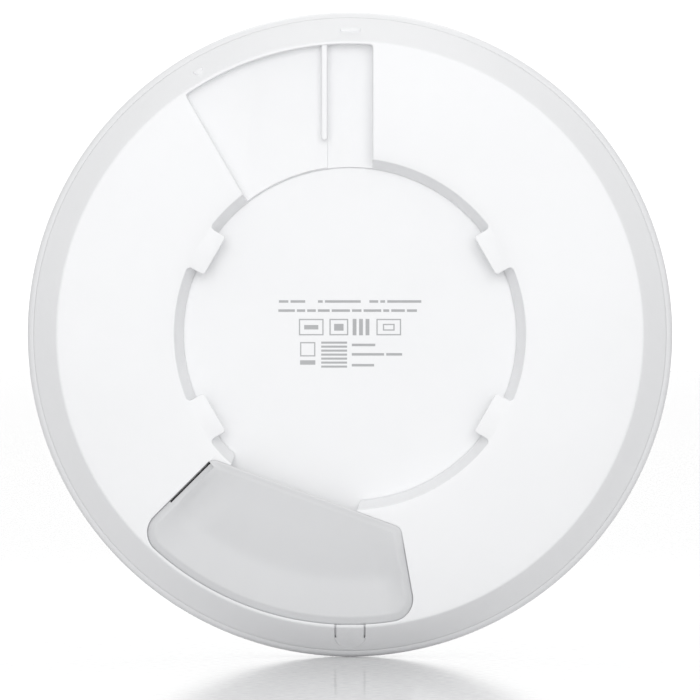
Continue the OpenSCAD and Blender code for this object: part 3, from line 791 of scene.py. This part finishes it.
def port_cover():
    """The grey cover: its face is dished, and its edges roll off."""
    middle = 78 * unit(BAY_ANGLE + 0.5)

    def top(p):
        return plate_height(p.length) - COVER_TOP - cover_dish(p)

    def base(p):
        return plate_height(p.length) - COVER_TOP - COVER_T

    def ring(margin, height, scale=1.0):
        points = []
        for p in bay_outline(margin):
            q = middle + (p - middle) * scale
            points.append((q.x, q.y, height(q)))
        return points

    grown = GAP - COVER_TRIM
    rings = [ring(-0.3, base, s) for s in (0.04, 0.35, 0.7, 0.9, 1.0)]
    rings.append(ring(grown, lambda p: base(p) + 0.3))
    for share, fall, step in COVER_ROLL:
        def bevel(p, fall=fall, step=step):
            depth = -p.dot(unit(BAY_ANGLE - 180)) - BAY_CHORD
            return top(p) - step - fall * min(max(depth / 8, 0), 1)
        rings.append(ring(grown - (COVER_EDGE + grown) * share, bevel))
    for i in range(1, 49):
        rings.append(ring(-COVER_EDGE, top, 1 - 0.02 * i))
    cover = loft("port_lid", rings)
    return soften(finish_cover(cover), 40)


def finish_cover(cover):
    """Adds the guide legs under the port cover, and cuts its finger slot and scoop."""
    length, thick, foot = COVER_LEG
    reach = BAY_R - LEDGE_W - COVER_LEG_INSET
    for angle in COVER_LEG_ANGLES:
        corners = oblong((reach - thick, reach), (-length / 2, length / 2))
        add(cover, plain("leg", swung(corners, angle), -3.3, -foot))
    side = RIGHT_SIDE[1] - LEDGE_W - COVER_LEG_INSET
    corners = oblong((side - thick, side), (SIDE_LEG_FROM, SIDE_LEG_FROM + length))
    add(cover, plain("leg", swung(corners, RIGHT_SIDE[0]), -2.1, -foot))
    out, along = unit(LEFT_SIDE[0]), unit(LEFT_SIDE[0] + 90)

    def spot(inset, run, z):
        p = (LEFT_SIDE[1] - inset) * out + run * along
        return (p.x, p.y, z)

    ends = (FINGER_FROM, FINGER_FROM + FINGER_L)
    section = ((FINGER_W, ends[0]), (-1, ends[0]), (-1, ends[1]), (FINGER_W, ends[1]))
    slot = [[spot(inset, run, z) for inset, run in section] for z in (-6, 1)]
    scoop = []
    for run in (ends[0] + 0.15, ends[1] - 0.15):
        scoop.append([spot(-1, run, -1.5), spot(FINGER_W, run, -1.2), spot(COVER_EDGE, run, -0.35),
                      spot(COVER_EDGE + 0.4, run, 0.6), spot(-1, run, 0.6)])
    return cut(cover, loft("slot", slot), loft("scoop", scoop))


def exit_plug():
    """The plug in the cable exit, flush with the flank and hollow behind."""
    front = BAY_R + GAP - 0.03
    plug = exit_block("side_plug", -0.1, front, SEAM_R - 0.02)
    combine(plug, revolve("form", solid_profile(0.02)), "INTERSECT")
    hollow = exit_block("hollow", -GAP - EXIT_WALL, front - OVER, SEAM_R - EXIT_WALL)
    combine(hollow, revolve("form", solid_profile(2.4)), "INTERSECT")
    cut(plug, hollow)
    for side in (-1, 1):
        edges = sorted((side * EXIT_W / 2, side * (EXIT_W / 2 - SLIT_W)))
        slit = slab("slit", (edges[0], -SLIT_TO, -20), (edges[1], -front + OVER, OVER))
        cut(plug, cut(slit, revolve("form", solid_profile(1.7))))
    return soften(plug)


def print_bars(x, y, lengths, height, space=0.75):
    """A row of plain bars from x onwards, as (left, bottom, right, top) boxes."""
    boxes = []
    for length in lengths:
        boxes.append((x, y, x + length, y + height))
        x += length + space
    return boxes


def print_frame(x, y, width, height, line=0.42):
    """Four bars round an empty box."""
    return [
        (x, y, x + width, y + line), (x, y + height - line, x + width, y + height),
        (x, y + line, x + line, y + height - line),
        (x + width - line, y + line, x + width, y + height - line),
    ]


def floor_print():
    """Plain printed bars and frames on the well's floor, in place of the rating label's words and marks."""
    tall = 0.85
    boxes = print_bars(-24.2, 10.7, (3.2, 5.0), tall) + print_bars(-10.9, 10.7, (1.6, 12.2), tall)
    boxes += print_bars(6.6, 10.7, (3.0, 1.6, 11.6), tall)
    boxes += print_bars(-24.4, 7.6, (5.6, 2.8, 2.9, 4.0, 6.2, 3.2, 6.0, 2.0, 4.6, 3.4), tall, 0.72)
    mark_y, mark_h = -0.4, 5.6
    boxes += print_frame(-17.4, mark_y, 8.4, mark_h) + print_bars(-15.6, 1.6, (4.8,), 1.5)
    boxes += print_frame(-7.0, mark_y, 6.4, mark_h) + print_bars(-5.4, 1.2, (3.2,), 2.3)
    boxes += [(0.9 + 2.2 * i, mark_y, 2.2 + 2.2 * i, mark_y + mark_h) for i in range(3)]
    boxes += print_frame(9.0, mark_y, 8.4, mark_h) + print_frame(11.2, 1.2, 4.0, 2.3)
    boxes += print_frame(-17.0, -7.6, 5.2, 4.9) + print_bars(-17.0, -10.4, (5.2,), 1.5)
    boxes += [(-9.8, -11.4 + 1.36 * i, -1.0, -10.7 + 1.36 * i) for i in range(7)]
    boxes += print_bars(0.6, -4.1, (8.0,), tall) + print_bars(0.6, -7.3, (11.0, 5.4), tall)
    boxes += print_bars(0.6, -11.0, (7.6,), tall)
    points, faces = [], []
    for left, bottom, right, top in boxes:
        first = len(points)
        for z in (-WELL_DEPTH + 0.002, -WELL_DEPTH + 0.03):
            points += [(left, bottom, z), (right, bottom, z), (right, top, z), (left, top, z)]
        faces.append([first, first + 1, first + 2, first + 3])
        faces.append([first + 7, first + 6, first + 5, first + 4])
        for i in range(4):
            j = (i + 1) % 4
            faces.append([first + i, first + 4 + i, first + 4 + j, first + j])
    return build("floor_print", points, faces)


# Materials. Each has its own grain, a slight change of tone and a roughness that varies.


def node(tree, kind, **values):
    """Adds a shader node and sets its inputs."""
    made = tree.nodes.new(kind)
    for name, value in values.items():
        made.inputs[name.replace("_", " ")].default_value = value
    return made


def finish_of(name, tone, rough, grain, depth, mottle, metallic=0.0, coat=0.0, stretch=(1, 1, 1)):
    """A surface with a moulded or rolled grain. stretch draws the grain out along an axis."""
    material = bpy.data.materials.new(name)
    material.use_nodes = True
    tree = material.node_tree
    shader = tree.nodes["Principled BSDF"]
    shader.inputs["Metallic"].default_value = metallic
    shader.inputs["Coat Weight"].default_value = coat
    shader.inputs["Coat Roughness"].default_value = 0.12
    where = tree.nodes.new("ShaderNodeTexCoord")
    mapping = node(tree, "ShaderNodeMapping", Scale=stretch)
    tree.links.new(where.outputs["Object"], mapping.inputs["Vector"])
    cloud = node(tree, "ShaderNodeTexNoise", Scale=26.0, Detail=4.0, Roughness=0.6)
    fine = node(tree, "ShaderNodeTexNoise", Scale=float(grain), Detail=3.0, Roughness=0.55)
    for texture in (cloud, fine):
        tree.links.new(mapping.outputs["Vector"], texture.inputs["Vector"])
    ramp = tree.nodes.new("ShaderNodeValToRGB")
    ramp.color_ramp.elements[0].position = 0.3
    ramp.color_ramp.elements[1].position = 0.7
    ramp.color_ramp.elements[0].color = (*[c * (1 - mottle) for c in tone], 1)
    ramp.color_ramp.elements[1].color = (*[min(c * (1 + mottle * 0.5), 1) for c in tone], 1)
    tree.links.new(cloud.outputs["Fac"], ramp.inputs["Fac"])
    tree.links.new(ramp.outputs["Color"], shader.inputs["Base Color"])
    spread = tree.nodes.new("ShaderNodeMapRange")
    spread.inputs["To Min"].default_value = rough - 0.05
    spread.inputs["To Max"].default_value = rough + 0.05
    tree.links.new(fine.outputs["Fac"], spread.inputs["Value"])
    tree.links.new(spread.outputs["Result"], shader.inputs["Roughness"])
    bump = node(tree, "ShaderNodeBump", Strength=depth, Distance=0.0002)
    tree.links.new(fine.outputs["Fac"], bump.inputs["Height"])
    tree.links.new(bump.outputs["Normal"], shader.inputs["Normal"])
    return material


def board_finish():
    """Solder mask over copper: the traces show as lighter lines."""
    material = finish_of("circuit_board", (0.012, 0.10, 0.055), 0.32, 900, 0.05, 0.03, coat=0.3)
    tree = material.node_tree
    shader = tree.nodes["Principled BSDF"]
    where = next(n for n in tree.nodes if n.type == "TEX_COORD")
    traces = node(tree, "ShaderNodeTexVoronoi", Scale=230.0, Randomness=1.0)
    traces.feature = "DISTANCE_TO_EDGE"
    traces.distance = "EUCLIDEAN"
    tree.links.new(where.outputs["Object"], traces.inputs["Vector"])
    line = node(tree, "ShaderNodeMath")
    line.operation = "LESS_THAN"
    line.inputs[1].default_value = 0.06
    tree.links.new(traces.outputs["Distance"], line.inputs[0])
    mix = tree.nodes.new("ShaderNodeMix")
    mix.data_type = "RGBA"
    ramp = next(n for n in tree.nodes if n.type == "VALTORGB")
    tree.links.new(line.outputs["Value"], mix.inputs["Factor"])
    tree.links.new(ramp.outputs["Color"], mix.inputs["A"])
    mix.inputs["B"].default_value = (0.03, 0.19, 0.10, 1)
    tree.links.new(mix.outputs["Result"], shader.inputs["Base Color"])
    return material


def glow_finish():
    """The frosted light guide."""
    material = finish_of("clear_guide", (0.84, 0.88, 0.92), 0.3, 1400, 0.05, 0.02)
    shader = material.node_tree.nodes["Principled BSDF"]
    shader.inputs["Subsurface Weight"].default_value = 0.25
    shader.inputs["Subsurface Radius"].default_value = (0.002, 0.002, 0.003)
    return material


# Each plain finish: its tone, roughness, grain, depth of grain, mottle, metal, coat and stretch.
FINISHES = {
    "white_plastic": ((0.83, 0.835, 0.845), 0.46, 1500, 0.05, 0.012),
    "grey_plastic": ((0.63, 0.635, 0.645), 0.40, 1500, 0.05, 0.015),
    "seal_rubber": ((0.035, 0.035, 0.038), 0.7, 1100, 0.12, 0.15),
    "spreader_aluminium": ((0.7, 0.71, 0.72), 0.42, 700, 0.25, 0.06, 1.0),
    "chip_epoxy": ((0.02, 0.02, 0.022), 0.5, 1600, 0.1, 0.1),
    "pad_silicone": ((0.55, 0.32, 0.36), 0.6, 900, 0.1, 0.08),
    "tinned_steel": ((0.66, 0.66, 0.67), 0.28, 300, 0.08, 0.06, 1.0, 0.0, (1, 9, 1)),
    "black_plastic": ((0.018, 0.018, 0.02), 0.4, 1500, 0.08, 0.12),
    "contact_gold": ((0.83, 0.58, 0.22), 0.2, 1200, 0.03, 0.05, 1.0),
    "ferrite": ((0.05, 0.05, 0.055), 0.62, 1300, 0.25, 0.15),
    "capacitor_can": ((0.05, 0.09, 0.2), 0.35, 900, 0.05, 0.08),
    "button_plastic": ((0.78, 0.78, 0.75), 0.35, 1500, 0.04, 0.03),
    "antenna_plate_steel": ((0.62, 0.62, 0.63), 0.3, 260, 0.1, 0.06, 1.0, 0.0, (9, 1, 1)),
    "antenna_brass": ((0.72, 0.52, 0.24), 0.3, 300, 0.1, 0.08, 1.0, 0.0, (1, 8, 1)),
    "lead_jacket": ((0.02, 0.02, 0.022), 0.42, 1600, 0.06, 0.1),
    "holder_plastic": ((0.76, 0.76, 0.74), 0.45, 1500, 0.06, 0.02),
    "led_lens": ((0.85, 0.78, 0.42), 0.2, 1500, 0.03, 0.05),
    "ribbon_film": ((0.72, 0.66, 0.52), 0.35, 1200, 0.05, 0.05),
    "screw_steel": ((0.6, 0.6, 0.62), 0.3, 800, 0.08, 0.08, 1.0),
    "standoff_brass": ((0.75, 0.56, 0.26), 0.28, 600, 0.08, 0.06, 1.0),
}


def finishes():
    """Every finish, by the name of its material slot."""
    made = {name: finish_of(name, *values) for name, values in FINISHES.items()}
    made["clear_guide"] = glow_finish()
    made["circuit_board"] = board_finish()
    return made


def dress(piece, material):
    """Gives a piece one finish all over."""
    piece.data.materials.clear()
    piece.data.materials.append(material)
    for face in piece.data.polygons:
        face.material_index = 0


def fit(piece, body, slot_name, *replaced):
    """Gives a piece its body, its finish and the solids that it stands for."""
    dress(piece, surfaces[slot_name])
    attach(piece, body)
    if replaced:
        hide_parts(*replaced)
    return piece


surfaces = finishes()
for part in frame["record"]["subparts"]:
    dress(frame["nodes"][part["node"]], surfaces[part["material_slot"]])

fit(back_shell(), "housing", "white_plastic", "back_shell")
fit(front_cover(), "housing", "white_plastic", "front_cover")
fit(light_ring(), "housing", "clear_guide", "light_guide_ring")
fit(port_cover(), "port_cover", "grey_plastic", "port_cover")
fit(exit_plug(), "cable_exit_plug", "white_plastic", "cable_exit_plug")
label = fit(floor_print(), "housing", "grey_plastic")
dress(label, finish_of("floor_ink", (0.42, 0.425, 0.435), 0.6, 2200, 0.03, 0.06))


def surround():
    """A pale surround: white far behind the object, and calmer at its sides and in front of it."""
    world = bpy.data.worlds.new("surround")
    world.use_nodes = True
    tree = world.node_tree
    where = tree.nodes.new("ShaderNodeTexCoord")
    split = tree.nodes.new("ShaderNodeSeparateXYZ")
    tree.links.new(where.outputs["Generated"], split.inputs["Vector"])
    along = tree.nodes.new("ShaderNodeMapRange")
    along.inputs["From Min"].default_value = -1
    tree.links.new(split.outputs["Y"], along.inputs["Value"])
    ramp = tree.nodes.new("ShaderNodeValToRGB")
    shades = ((0, 0.56), (0.4, 0.52), (0.85, 0.5), (0.95, 1))
    while len(ramp.color_ramp.elements) < len(shades):
        ramp.color_ramp.elements.new(0.5)
    for stop, (position, shade) in zip(ramp.color_ramp.elements, shades):
        stop.position = position
        stop.color = (shade, shade, shade, 1)
    tree.links.new(along.outputs["Result"], ramp.inputs["Fac"])
    tree.links.new(ramp.outputs["Color"], tree.nodes["Background"].inputs["Color"])
    overhead = tree.nodes.new("ShaderNodeMapRange")
    overhead.inputs["To Min"].default_value = 1.2
    overhead.inputs["To Max"].default_value = 1.5
    tree.links.new(split.outputs["Z"], overhead.inputs["Value"])
    tree.links.new(overhead.outputs["Result"], tree.nodes["Background"].inputs["Strength"])
    bpy.context.scene.world = world


def floor():
    """A pale, slightly glossy floor under the rim."""
    lowest = cad_box[0].z
    reach = 60
    mesh = bpy.data.meshes.new("floor")
    corners = [(p.x, p.y, lowest) for p in oblong((-reach, reach), (-reach, reach))]
    mesh.from_pydata(corners, [], [(0, 1, 2, 3)])
    made = bpy.data.objects.new("floor", mesh)
    bpy.context.scene.collection.objects.link(made)
    finish = finish_of("floor", (0.7, 0.7, 0.705), 0.08, 300, 0.0, 0.0)
    finish.node_tree.nodes["Principled BSDF"].inputs["IOR"].default_value = 1.035
    dress(made, finish)


def lamp(name, spot, size, power):
    """A soft box that points at the object."""
    data = bpy.data.lights.new(name, "AREA")
    data.shape = "RECTANGLE"
    data.size, data.size_y = size
    data.energy = power
    made = bpy.data.objects.new(name, data)
    made.location = spot
    made.rotation_mode = "QUATERNION"
    made.rotation_quaternion = (-Vector(spot)).to_track_quat("-Z", "Y")
    made.visible_camera = False
    bpy.context.scene.collection.objects.link(made)


def camera():
    """Looks straight at the back from far off, a little below the axis, as the object is framed."""
    distance = 4
    below = 0.0054
    frame_w = 0.2379
    data = bpy.data.cameras.new("camera")
    data.sensor_width = 36
    data.lens = data.sensor_width * distance / frame_w
    data.clip_end = 60
    made = bpy.data.objects.new("camera", data)
    made.location = (0, -distance, -below)
    made.rotation_euler = (pi / 2, 0, 0)
    bpy.context.scene.collection.objects.link(made)
    bpy.context.scene.camera = made


surround()
floor()
lamp("key", (0, -1.5, 0.3), (1.6, 1.2), 14.2)
lamp("top", (0, 1.2, 1.2), (0.9, 0.6), 5)
camera()
bpy.context.scene.view_settings.view_transform = "Standard"
